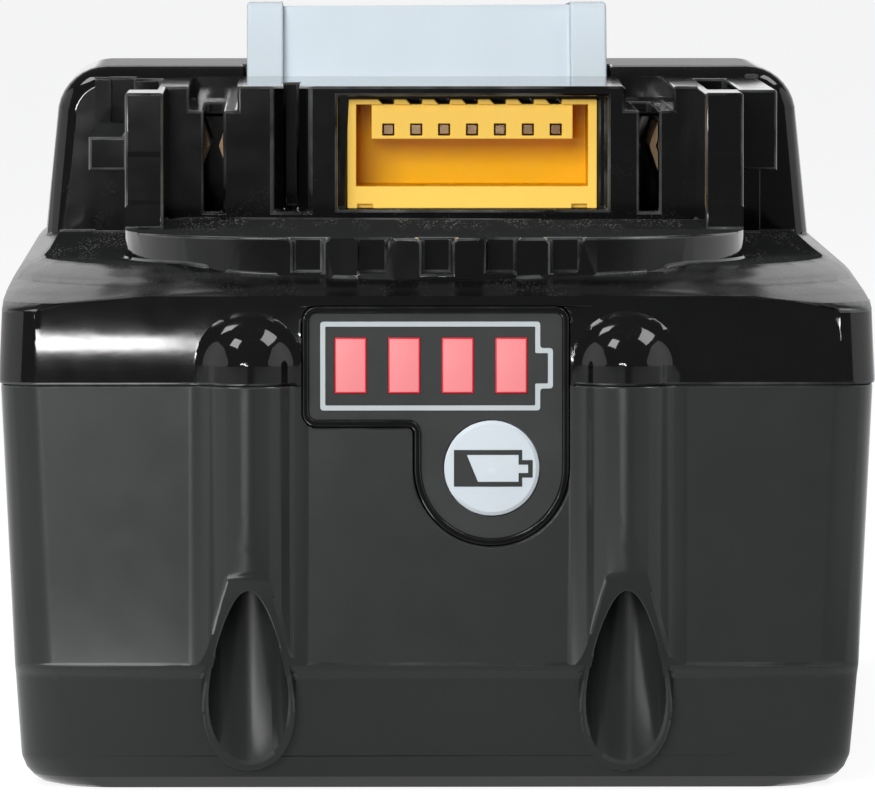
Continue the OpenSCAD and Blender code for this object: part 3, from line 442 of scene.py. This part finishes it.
def moulded(name, colour, drift, gloss, grain, depth, metallic=0):
    """A finish with drifting tone, drifting gloss and a fine grain. Grain and depth are in millimetres."""
    material, tree, shader, place = blank_finish(name)
    dark = [c * (1 - drift) for c in colour]
    light = [c * (1 + drift) for c in colour]
    tree.links.new(two_tone(tree, noise_at(tree, place, TONE_SCALE), dark, light),
                   shader.inputs["Base Color"])
    tree.links.new(ranged(tree, noise_at(tree, place, GLOSS_SCALE), *gloss), shader.inputs["Roughness"])
    bump = add_node(tree, "ShaderNodeBump", Strength=1, Distance=depth * MM)
    tree.links.new(noise_at(tree, place, 1 / (grain * MM)), bump.inputs["Height"])
    tree.links.new(bump.outputs["Normal"], shader.inputs["Normal"])
    shader.inputs["Metallic"].default_value = metallic
    return material, tree, shader, place


def rub_and_highlight_edges(tree, shader, place, share, colour):
    """Paints the small rounds pale, as wear and as a painted highlight, more in some places than in others."""
    rounds = tree.nodes.new("ShaderNodeAttribute")
    rounds.attribute_name = "edge_wear_and_highlight"
    uneven = ranged(tree, noise_at(tree, place, RUB_SCALE, 4), 0, share, 0.35, 0.7)
    recolour(tree, shader, joined(tree, "MULTIPLY", rounds.outputs["Fac"], uneven), colour)


# %% [markdown]
# ## Plain finishes
# Most pieces need no more than a moulded finish, so a table holds their colour, drift, gloss, grain, depth and
# metal. The case gets edges painted pale, partly as rubbed wear and partly as a painted highlight along the
# rounds.
# The connector is set back in its window, so the light fades on it, and that light is painted: its front is
# painted paler with a painted glow, fading to its own deeper amber at the back.

# %% Plain finishes by slot
PLAIN = {
    "case_grey": ((0.024, 0.0255, 0.0252), 0.06, (0.17, 0.195), 0.14, 0.001, 0),
    "latch_plastic": ((0.66, 0.74, 0.8), 0.03, (0.3, 0.4), 0.15, 0.001, 0),
    "inner_plastic": ((0.25, 0.27, 0.28), 0.06, (0.4, 0.55), 0.15, 0.002, 0),
    "spring_steel": ((0.55, 0.56, 0.57), 0.08, (0.2, 0.35), 0.05, 0.001, 1),
    "connector_yellow": ((0.9, 0.5, 0.004), 0.02, (0.3, 0.42), 0.12, 0.001, 0),
    "contact_metal": ((0.3, 0.2, 0.12), 0.12, (0.25, 0.4), 0.06, 0.001, 1),
    "overlay_grey": ((0.032, 0.034, 0.034), 0.2, (0.5, 0.65), 0.06, 0.004, 0),
    "button_white": ((0.64, 0.705, 0.75), 0.02, (0.35, 0.45), 0.1, 0.0005, 0),
    "led_red": ((0.7, 0.02, 0.04), 0.05, (0.2, 0.3), 0.1, 0.001, 0),
    "board_green": ((0.02, 0.15, 0.06), 0.12, (0.3, 0.45), 0.2, 0.002, 0),
    "chip_black": ((0.02, 0.02, 0.02), 0.1, (0.45, 0.6), 0.08, 0.002, 0),
    "ribbon_pale": ((0.75, 0.7, 0.58), 0.04, (0.35, 0.5), 0.3, 0.001, 0),
    "insulator_paper": ((0.75, 0.68, 0.5), 0.06, (0.7, 0.85), 0.1, 0.004, 0),
    "cell_sleeve": ((0.05, 0.25, 0.15), 0.05, (0.25, 0.35), 0.4, 0.002, 0),
    "nickel": ((0.6, 0.6, 0.58), 0.06, (0.2, 0.35), 0.1, 0.001, 1),
    "screw_steel": ((0.45, 0.46, 0.47), 0.08, (0.25, 0.4), 0.08, 0.001, 1),
}
# Pale grey painted on the lower case's rounds, partly as wear and partly as a painted highlight.
RUBBED_AND_HIGHLIGHT_GREY = (0.06, 0.062, 0.062)
# Painted light on the connector: a paler amber and a glow on its front, fading over this span of depth.
PAINTED_LIGHT_AMBER = (1, 0.64, 0.115)
CONNECTOR_PAINTED_LIGHT_SPAN = (-0.0074, -0.0058)
CONNECTOR_PAINTED_GLOW = 0.16
finishes = {}
for slot, values in PLAIN.items():
    finishes[slot], tree, shader, place = moulded(slot, *values)
    if slot == "case_grey":
        # The rounds are painted pale, partly as wear and partly as a painted highlight.
        rub_and_highlight_edges(tree, shader, place, 0.9, RUBBED_AND_HIGHLIGHT_GREY)
    # Painted light: the connector's front is painted paler and given a glow, fading to its own amber further in.
    if slot == "connector_yellow":
        depth = axes_of(tree, place)["Y"]
        recolour(tree, shader, ranged(tree, depth, 1, 0, *CONNECTOR_PAINTED_LIGHT_SPAN), PAINTED_LIGHT_AMBER)
        shader.inputs["Specular IOR Level"].default_value = 0.25
        shader.inputs["Emission Color"].default_value = (*PAINTED_LIGHT_AMBER, 1)
        tree.links.new(ranged(tree, depth, CONNECTOR_PAINTED_GLOW, 0, *CONNECTOR_PAINTED_LIGHT_SPAN),
                       shader.inputs["Emission Strength"])
print(len(finishes), "plain finishes")

# %% [markdown]
# ## Gloss black with dust
# The upper case is polished black and has been handled: specks of dust lie on its ledges and in its corners,
# with a few on upright faces. A Voronoi pattern gives each speck its own cell, a second noise gathers the
# specks in patches, and the surface normal and the height keep most of them on low ledges, because hands wipe
# the top. The specks are drawn out along the way that the tool slides, as scuffs. The low ledges are hazy with
# finer dust and reflect little, and the rounds are painted pale, partly as wear and partly as a painted
# highlight.

# %% Helpers for the dusty gloss
SLIDE_STRETCH = (1, 0.08, 1)
BEHIND_FRONT = (-0.036, -0.022)
LOW_LEDGES = (0.05, 0.056)
LEDGES = (0.0575, 0.0595)
HUMP_TOP = (0.0607, 0.0611)
SHOULDER_FOOT = (0.0405, 0.042)
SHOULDER_TOP = (0.0461, 0.0466)
HAZE_GREY = (0.032, 0.033, 0.033)
# Pale grey painted on the upper case's rounds, partly as wear and partly as a painted highlight.
RUBBED_AND_HIGHLIGHT_BLACK = (0.2, 0.205, 0.205)
DUST_GREY = (0.42, 0.42, 0.4)


def speck_dust(tree, place, facing, spot, amount):
    """The share of dust: long specks in patches, most of them on low ledges."""
    slid = tree.nodes.new("ShaderNodeVectorMath")
    slid.operation = "MULTIPLY"
    tree.links.new(place, slid.inputs[0])
    slid.inputs[1].default_value = SLIDE_STRETCH
    specks = add_node(tree, "ShaderNodeTexVoronoi", Scale=4200, Randomness=1)
    tree.links.new(slid.outputs["Vector"], specks.inputs["Vector"])
    dot = ranged(tree, specks.outputs["Distance"], 1, 0, 0.15, 0.42)
    patches = ranged(tree, noise_at(tree, slid.outputs["Vector"], 420, 4), 0, 1, 0.45, 0.62)
    upward = ranged(tree, facing["Z"], 0.06, 1, 0.5, 0.95)
    behind = ranged(tree, spot["Y"], 0.12, 1, *BEHIND_FRONT)
    low = ranged(tree, spot["Z"], 1, 0.08, *LOW_LEDGES)
    return ranged(tree, joined(tree, "MULTIPLY", patches, upward, behind, low, dot), 0, amount, 0, 1)


def dusty_gloss(name, colour, amount, rub_and_highlight_share):
    """Gloss black with dust, hazy ledges, a rougher shoulder and hump top, and edges painted pale as wear and as
    a painted highlight.
    """
    material, tree, shader, place = moulded(name, colour, 0.15, (0.055, 0.085), 0.9, 0.001)
    facing = axes_of(tree, tree.nodes.new("ShaderNodeNewGeometry").outputs["Normal"])
    spot = axes_of(tree, place)
    dust = speck_dust(tree, place, facing, spot, amount)
    level = ranged(tree, facing["Z"], 0, 1, 0.96, 0.995)
    ledge = joined(tree, "MULTIPLY", level, ranged(tree, spot["Z"], 1, 0, *LEDGES))
    recolour(tree, shader, ledge, HAZE_GREY)
    # The rounds are painted pale, partly as wear and partly as a painted highlight.
    rub_and_highlight_edges(tree, shader, place, rub_and_highlight_share, RUBBED_AND_HIGHLIGHT_BLACK)
    recolour(tree, shader, dust, DUST_GREY)
    tree.links.new(ranged(tree, ledge, 0.5, 0, 0, 1), shader.inputs["Specular IOR Level"])
    worn = joined(tree, "MULTIPLY", level, ranged(tree, spot["Z"], 0, 0.3, *HUMP_TOP))
    shoulder = joined(tree, "MULTIPLY", ranged(tree, facing["Z"], 0, 1, 0.1, 0.4),
                      ranged(tree, spot["Z"], 0, 1, *SHOULDER_FOOT),
                      ranged(tree, spot["Z"], 0.2, 0, *SHOULDER_TOP))
    gloss = joined(tree, "ADD", shader.inputs["Roughness"].links[0].from_socket, worn, shoulder)
    rough = joined(tree, "MAXIMUM", gloss, ranged(tree, dust, 0, 0.9, 0, 1))
    tree.links.new(rough, shader.inputs["Roughness"])
    return material


# %% Make both blacks
GLOSS_BLACK = (0.004, 0.004, 0.0042)
# The last number is the share of pale paint on the rounds, as wear and as a painted highlight.
finishes["case_black"] = dusty_gloss("case_black", GLOSS_BLACK, 0.6, 0.45)
finishes["bezel_black"] = dusty_gloss("bezel_black", GLOSS_BLACK, 0.35, 0.1)
print("dusty gloss made for the upper case and the bezel")

# %% [markdown]
# ## Windows with a painted glow
# Each window is a block of pink, cloudy plastic with a thin red edge where the colour is deepest.
# An inset of its front face gives the edge a face of its own, so it can have a deeper red.
# Both the window and its edge are given a faint glow, which is painted light, since no lamp lights them.

# %% Make the four windows
RED_EDGE = 0.17 * MM
EDGE_STEP = 0.02 * MM


def cloudy_red_painted_glow(name, colour, glow):
    """Cloudy plastic with a faint painted glow, since no lamp lights it."""
    material, tree, shader, place = moulded(name, colour, 0.03, (0.3, 0.4), 0.3, 0.0005)
    shader.inputs["Emission Color"].default_value = (*colour, 1)
    shader.inputs["Emission Strength"].default_value = glow
    return material


# Painted light: the glows of 0.12 and 0.05 make the unlit windows shine.
finishes["lens_red"] = cloudy_red_painted_glow("lens_red", (0.84, 0.25, 0.265), 0.12)
red_edge = cloudy_red_painted_glow("lens_edge", (0.72, 0.012, 0.03), 0.05)
for number in range(1, 5):
    node = f"gauge_lens_{number}"
    bm = merged_copy(node)
    bmesh.ops.dissolve_limit(bm, angle_limit=math.radians(1), verts=bm.verts, edges=bm.edges)
    front = [f for f in bm.faces if f.normal.y < -0.99]
    for face in bmesh.ops.inset_region(bm, faces=front, thickness=RED_EDGE, depth=EDGE_STEP)["faces"]:
        face.material_index = 1
    window = finished(bm, node + "_window")
    window.data.materials.append(finishes["lens_red"])
    window.data.materials.append(red_edge)
    stand_for(window, node, "case")
print("four windows with red edges")

# %% [markdown]
# ## Printed battery sign
# A pale battery outline is printed round the windows. It could be painted by a material,
# but a line this crisp is better as a thin skin of ink. Two rings with round corners are drawn,
# the space between them is filled, and the sheet gets the thickness of ink.

# %% Helpers for ink
INK = 0.03 * MM
INK_SUNK = 0.005 * MM


def rounded_ring(corners, radius, steps=4):
    """Points of a closed line with its corners rounded, across and up in millimetres."""
    points = []
    for before, corner, after in zip(corners[-1:] + corners[:-1], corners, corners[1:] + corners[:1]):
        here = Vector(corner)
        enter = here + (Vector(before) - here).normalized() * radius
        leave = here + (Vector(after) - here).normalized() * radius
        for k in range(steps + 1):
            points.append(enter.lerp(here, k / steps).lerp(here.lerp(leave, k / steps), k / steps))
    return points


def inked_sheet(rings):
    """A bmesh sheet that fills the space between rings of points, seen from the front."""
    bm = bmesh.new()
    for ring in rings:
        verts = [bm.verts.new((x * MM, 0, z * MM)) for x, z in ring]
        for a, b in zip(verts, verts[1:] + verts[:1]):
            bm.edges.new((a, b))
    bmesh.ops.triangle_fill(bm, edges=bm.edges, use_beauty=True, normal=(0, -1, 0))
    bm.normal_update()
    return bm


def ink_skin(bm, depth):
    """Gives a sheet the thickness of ink, with its back just inside the face at this depth."""
    bmesh.ops.solidify(bm, geom=list(bm.faces), thickness=INK)
    bmesh.ops.recalc_face_normals(bm, faces=bm.faces)
    rear = max(v.co.y for v in bm.verts)
    bmesh.ops.translate(bm, verts=bm.verts, vec=(0, depth + INK_SUNK - rear, 0))


# %% Print the outline
overlay_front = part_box("gauge_overlay")[0][1]
LINE = 0.43
OUTLINE = [(-10.15, 33.5), (8.9, 33.5), (8.9, 35.4), (10, 35.4), (10, 38.9), (8.9, 38.9), (8.9, 41.2),
           (-10.15, 41.2)]
OUTWARD = [(-1, -1), (1, -1), (1, -1), (1, -1), (1, 1), (1, 1), (1, 1), (-1, 1)]
inner_line = [(x - LINE * sx, z - LINE * sz) for (x, z), (sx, sz) in zip(OUTLINE, OUTWARD)]
bm = inked_sheet([rounded_ring(OUTLINE, 0.3), rounded_ring(inner_line, 0.12)])
ink_skin(bm, overlay_front)
outline = finished(bm, "battery_outline")
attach(outline, "case")
print_grey = moulded("print_grey", (0.53, 0.58, 0.6), 0.04, (0.5, 0.6), 0.05, 0.002)[0]
outline.data.materials.append(print_grey)
print("outline of", len(outline.data.polygons), "faces")

# %% [markdown]
# ## Sign on the check button
# The button has a slightly domed face with a dark battery sign, half of it filled by a slanted block.
# The sign's edges are filled as one sheet with a hole, cut finely and laid on the dome, which falls a little
# from its middle and more steeply near its rim.

# %% Print the button's sign
BUTTON_X = 4.7 * MM
BUTTON_Z = 28.5 * MM
MIDDLE_REACH, MIDDLE_FALL = 2.06, 0.04
RIM_REACH, RIM_FALL = 1.76, 0.08
OUTER = [(-3.28, -1.61), (2.64, -1.61), (2.64, -0.82), (3.55, -0.82), (3.55, 0.7), (2.64, 0.7), (2.64, 1.58),
         (-3.28, 1.58)]
INNER = [(-1.2, -1.18), (2.32, -1.18), (2.32, -0.42), (3.15, -0.42), (3.15, 0.3), (2.32, 0.3), (2.32, 1.15),
         (-2.16, 1.15)]
button_mid = Vector((BUTTON_X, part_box("check_button")[0].y, BUTTON_Z))
bm = inked_sheet([OUTER, INNER])
bmesh.ops.subdivide_edges(bm, edges=bm.edges, cuts=2, use_grid_fill=True)
bm.normal_update()
for v in bm.verts:
    reach = math.hypot(v.co.x, v.co.z) / MM
    middle = MIDDLE_FALL * min(reach, MIDDLE_REACH) / MIDDLE_REACH
    rim = RIM_FALL * max(0, reach - MIDDLE_REACH) / RIM_REACH
    v.co.y = (middle + rim) * MM
dome_fall = max(v.co.y for v in bm.verts)
bmesh.ops.translate(bm, verts=bm.verts, vec=button_mid)
ink_skin(bm, button_mid.y + dome_fall)
sign = finished(bm, "button_sign")
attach(sign, "check_button")
sign.data.materials.append(finishes["overlay_grey"])
print("button sign of", len(sign.data.polygons), "faces")

# %% [markdown]
# ## Give every piece its finish
# The record names a finish for each CAD node, so one loop dresses them all. The finer copies take the finish
# of the node that they stand for.

# %% Assign the finishes
slot_of = {part["node"]: part["material_slot"] for part in frame["record"]["subparts"]}
for node, piece in [*nodes.items(), *shells.items()]:
    piece.data.materials.clear()
    piece.data.materials.append(finishes[slot_of[node]])
print(len(slot_of), "nodes dressed")

# %% [markdown]
# ## A white room
# Black gloss shows the room more than its own colour. The world is white where the camera or a reflection
# meets it and dim for all other light, so that the soft boxes alone shape the pack. A white backdrop could be
# lit instead, but it would light the pack from all sides.

# %% Set the world
def seen_share(tree):
    """One for camera, glossy and transmitted rays, nought for the rest."""
    path = tree.nodes.new("ShaderNodeLightPath")
    kinds = ("Is Camera Ray", "Is Glossy Ray", "Is Transmission Ray")
    return ranged(tree, joined(tree, "ADD", *(path.outputs[kind] for kind in kinds)), 0, 1, 0, 1)


world = bpy.data.worlds.new("studio")
scene.world = world
world.use_nodes = True
tree = world.node_tree
dim = tree.nodes["Background"]
dim.inputs["Color"].default_value = (0.12, 0.125, 0.13, 1)
bright = tree.nodes.new("ShaderNodeBackground")
bright.inputs["Color"].default_value = (1, 1, 1, 1)
mix = tree.nodes.new("ShaderNodeMixShader")
tree.links.new(seen_share(tree), mix.inputs["Fac"])
tree.links.new(dim.outputs["Background"], mix.inputs[1])
tree.links.new(bright.outputs["Background"], mix.inputs[2])
tree.links.new(mix.outputs["Shader"], tree.nodes["World Output"].inputs["Surface"])
print("world white to the eye, dim as a light")

# %% [markdown]
# ## Floor
# The floor is a plain sheet that looks white in the same way. Sheets of the stage are dull and glow a little,
# so one helper makes them and another gives them their finish.

# %% Lay the floor
def stage_sheet(name, spot, size):
    """A level sheet of the stage, given its middle and its half width and half depth."""
    bm = bmesh.new()
    matrix = Matrix.Translation(spot) @ Matrix.Diagonal((*size, 1, 1))
    bmesh.ops.create_grid(bm, x_segments=1, y_segments=1, size=1, matrix=matrix)
    sheet = finished(bm, name)
    return sheet


def dull_finish(piece, name, tone, glow, strength, roughness=1):
    """Gives a piece of the stage a dull finish with a glow of its own."""
    material, tree, shader, place = blank_finish(name)
    shader.inputs["Base Color"].default_value = (tone, tone, tone, 1)
    shader.inputs["Roughness"].default_value = roughness
    shader.inputs["Specular IOR Level"].default_value = 0
    shader.inputs["Emission Color"].default_value = (*glow, 1)
    shader.inputs["Emission Strength"].default_value = strength
    piece.data.materials.append(material)
    return tree, shader, place


WHITE = (1, 1, 1)
floor = stage_sheet("floor", (0, 2.88, 0), (4, 3))
tree, shader, place = dull_finish(floor, "pale_floor", 0.35, WHITE, 0, roughness=0.9)
tree.links.new(ranged(tree, seen_share(tree), 0.1, 0.86, 0, 1), shader.inputs["Emission Strength"])
print("floor laid")

# %% [markdown]
# ## Dark tent
# Photographers put dark cloth in front of black gloss, so that it doesn't mirror a white room. The tent is half a
# tunnel, an edge spun about the pack. Only reflections see it.

# %% Pitch the tent
TENT_REACH = 1.6
TENT_HALF = 2.2
TENT_TILT = math.radians(40)
TENT_HEIGHT = 0.04
CLOTH_GLOW = (0.98, 1, 0.99)
bm = bmesh.new()
low_y = -TENT_REACH * math.cos(TENT_TILT)
low_z = TENT_HEIGHT - TENT_REACH * math.sin(TENT_TILT)
bm.edges.new([bm.verts.new((x, low_y, low_z)) for x in (-TENT_HALF, TENT_HALF)])
bmesh.ops.spin(bm, geom=[*bm.verts, *bm.edges], cent=(0, 0, TENT_HEIGHT), axis=(-1, 0, 0),
               angle=math.radians(180), steps=24, use_merge=False)
tent = finished(bm, "dark_tent")
dull_finish(tent, "tent_cloth", 0.01, CLOTH_GLOW, 0.13)
print("tent of", len(tent.data.polygons), "panels")

# %% [markdown]
# ## Card and slip
# A dark card lies on the floor before the pack and is paler at the left and far right, which gives the lower
# panels their tones. A slip of white paper on it draws a bright line along the foot of the left panel.
# Like the tent, both are there for reflections only.

# %% Lay the card and the slip
card = stage_sheet("dark_card", (0, -0.7, 0.001), (1.3, 0.755))
tree, shader, place = dull_finish(card, "graded_card", 0.01, CLOTH_GLOW, 0)
where = axes_of(tree, place)
paler = joined(tree, "ADD", ranged(tree, where["X"], 0.5, 0, -0.05, -0.018),
               ranged(tree, where["X"], 0, 0.42, 0.08, 0.2))
paler = joined(tree, "MULTIPLY", paler, ranged(tree, where["Y"], 0, 1, -0.85, -0.6))
paler = joined(tree, "ADD", paler, ranged(tree, where["Y"], 0.11, 0.36, -0.066, -0.06))
tree.links.new(paler, shader.inputs["Emission Strength"])

slip = stage_sheet("white_slip", (-0.0345, -0.107, 0.002), (0.0115, 0.043))
dull_finish(slip, "white_paper", 0.8, WHITE, 4)
for sheet in (tent, card, slip):
    sheet.visible_camera = False
    sheet.visible_diffuse = False
    sheet.visible_shadow = False
    sheet.visible_transmission = False
print("graded card and white slip laid")

# %% [markdown]
# ## Soft boxes
# Two soft boxes above draw the windows on the domes, and a long strip in front draws the bright line on the
# band. The last lamp fills the front evenly. It would spoil the gloss, so reflections don't see it.

# %% Place the soft boxes
SOFT_BOXES = [
    # name, spot, target, width, height, power in watts, seen in reflections
    ("left_box", (-0.4, -0.37, 0.74), (0, -0.04, 0.04), 0.3, 0.3, 2.3, True),
    ("right_box", (0.52, -0.12, 0.74), (0, -0.03, 0.04), 0.32, 0.32, 1.8, True),
    ("strip_box", (-0.19, -1.15, 0.083), (-0.19, 0, 0.083), 0.31, 0.034, 1.35, True),
    ("front_fill", (-0.31, -1.07, 0.3), (0, -0.04, 0.05), 0.6, 0.3, 8.6, False),
]
for name, spot, target, width, height, power, mirrored in SOFT_BOXES:
    light = bpy.data.lights.new(name, "AREA")
    light.shape = "RECTANGLE"
    light.size = width
    light.size_y = height
    light.energy = power
    box = bpy.data.objects.new(name, light)
    box.location = spot
    box.rotation_euler = (Vector(target) - Vector(spot)).to_track_quat("-Z", "Y").to_euler()
    box.visible_camera = False
    box.visible_glossy = mirrored
    scene.collection.objects.link(box)
print(len(SOFT_BOXES), "soft boxes")
